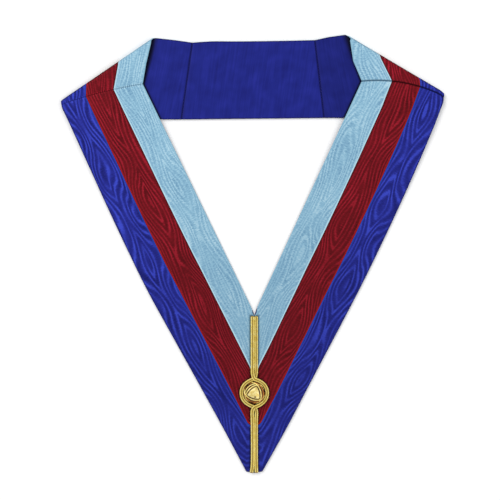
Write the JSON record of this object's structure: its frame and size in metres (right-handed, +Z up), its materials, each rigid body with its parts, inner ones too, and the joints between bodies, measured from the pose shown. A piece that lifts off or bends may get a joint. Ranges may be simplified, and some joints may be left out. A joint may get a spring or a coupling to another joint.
{
  "type": "ceremonial collar",
  "caption": "Flat-lying ceremonial collar of three moiré ribbons on a satin lining, meeting in a point in front, with sewn braid and a wound dome button.",
  "frame": {"origin": "on the table, under the middle of the collar's bounding box", "axes": "+Z up from the table, +Y from the point of the collar to the folded neck, +X to the right of the picture"},
  "size_m": [0.4648, 0.5286, 0.0106],
  "materials": {
    "light_blue_moire": "watered silk ribbon with fine cross ribs and a soft sheen",
    "crimson_moire": "watered silk ribbon, dense wood-grain figure",
    "royal_blue_moire": "watered silk ribbon, bold wood-grain figure",
    "satin_lining": "smooth satin",
    "gold_braid": "flat gold wire braid with two plaited ribs to a strand",
    "gold_button": "dome wound with gold wire, bright"
  },
  "bodies": {
    "root": {"front_left_light_blue": "light_blue_moire", "front_left_crimson": "crimson_moire", "front_left_royal_blue": "royal_blue_moire", "front_left_lining": "satin_lining", "front_right_light_blue": "light_blue_moire", "front_right_crimson": "crimson_moire", "front_right_royal_blue": "royal_blue_moire", "front_right_lining": "satin_lining", "shoulder_left_light_blue": "light_blue_moire", "shoulder_left_crimson": "crimson_moire", "shoulder_left_royal_blue": "royal_blue_moire", "shoulder_left_lining": "satin_lining", "shoulder_right_light_blue": "light_blue_moire", "shoulder_right_crimson": "crimson_moire", "shoulder_right_royal_blue": "royal_blue_moire", "shoulder_right_lining": "satin_lining", "back_light_blue": "light_blue_moire", "back_crimson": "crimson_moire", "back_royal_blue": "royal_blue_moire", "back_lining": "satin_lining", "braid_strand_left": "gold_braid", "braid_strand_right": "gold_braid", "dome_button": "gold_button"}
  },
  "joints": []
}
